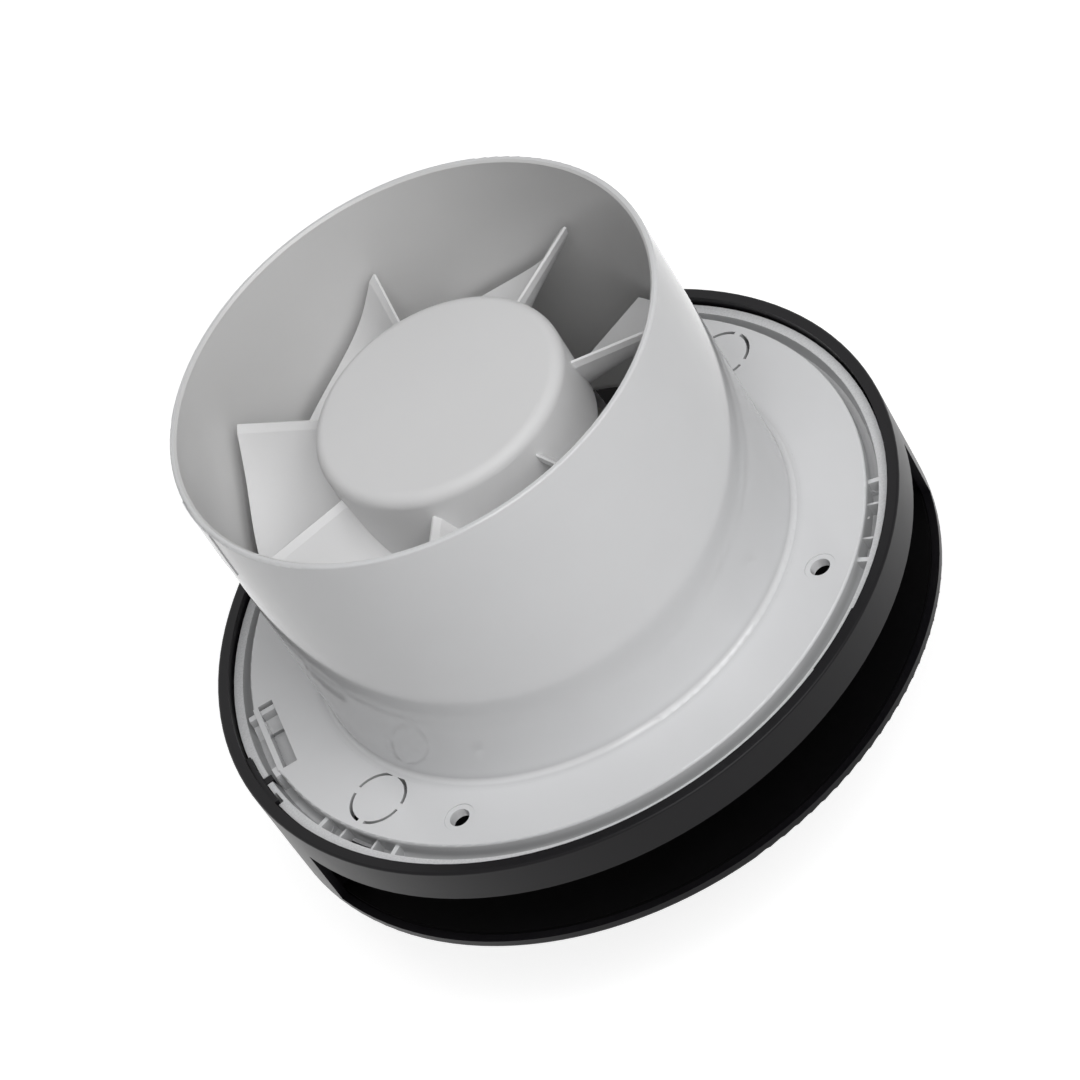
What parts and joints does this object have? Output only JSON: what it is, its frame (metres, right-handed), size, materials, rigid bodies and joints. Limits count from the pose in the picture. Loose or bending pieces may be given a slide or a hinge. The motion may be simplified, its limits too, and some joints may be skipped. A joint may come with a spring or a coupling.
{
  "type": "bathroom exhaust fan",
  "caption": "Round wall exhaust fan: white duct housing with a swept-blade impeller and motor, under a pull-off black cover with side air slots and a flat front panel.",
  "frame": {"origin": "on the duct axis, in the plane of the plate's face that is screwed to the wall", "axes": "+Z along the duct, the way the air leaves; +X through one cover pillar"},
  "size_m": [0.1424, 0.1424, 0.0877],
  "materials": {
    "white_plastic": "smooth, glossy white moulding",
    "impeller_plastic": "smooth white moulding",
    "black_plastic": "satin black moulding",
    "panel_plastic": "satin black moulding",
    "lamination_steel": "stacked sheet steel",
    "rotor_steel": "turned",
    "shaft_steel": "ground",
    "spring_steel": "oiled",
    "zinc_steel": "zinc plated",
    "die_cast_alloy": "as cast",
    "bearing_bronze": "sintered",
    "copper_winding": "enamelled wire",
    "terminal_brass": "drawn",
    "bobbin_nylon": "moulded",
    "washer_nylon": "moulded",
    "terminal_plastic": "moulded",
    "brown_insulation": "smooth",
    "blue_insulation": "smooth"
  },
  "bodies": {
    "housing": {"housing_duct": "white_plastic", "housing_plate": "white_plastic", "motor_carrier": "white_plastic", "stator_core": "lamination_steel", "bobbin_rear": "bobbin_nylon", "bobbin_front": "bobbin_nylon", "coil_rear": "copper_winding", "coil_front": "copper_winding", "bearing_bracket_lower": "die_cast_alloy", "bearing_bracket_upper": "die_cast_alloy", "bearing_lower": "bearing_bronze", "bearing_upper": "bearing_bronze", "motor_screws": "zinc_steel", "terminal_block": "terminal_plastic", "terminal_inserts": "terminal_brass", "terminal_screws": "zinc_steel", "cable_clamp": "white_plastic", "cable_clamp_screws": "zinc_steel", "motor_lead_live": "brown_insulation", "motor_lead_neutral": "blue_insulation"},
    "rotor": {"impeller": "impeller_plastic", "hub_clip": "spring_steel", "shaft": "shaft_steel", "rotor_core": "rotor_steel", "thrust_washers": "washer_nylon"},
    "cover": {"cover_frame": "black_plastic", "front_panel": "panel_plastic"}
  },
  "joints": [
    {"name": "impeller_spin", "type": "hinge", "parent": "housing", "child": "rotor", "pos_m": [0, 0, 0], "axis": [0, 0, 1], "continuous": true},
    {"name": "cover_pull", "type": "slide", "parent": "housing", "child": "cover", "axis": [0, 0, -1], "range_m": [0, 0.03]}
  ]
}
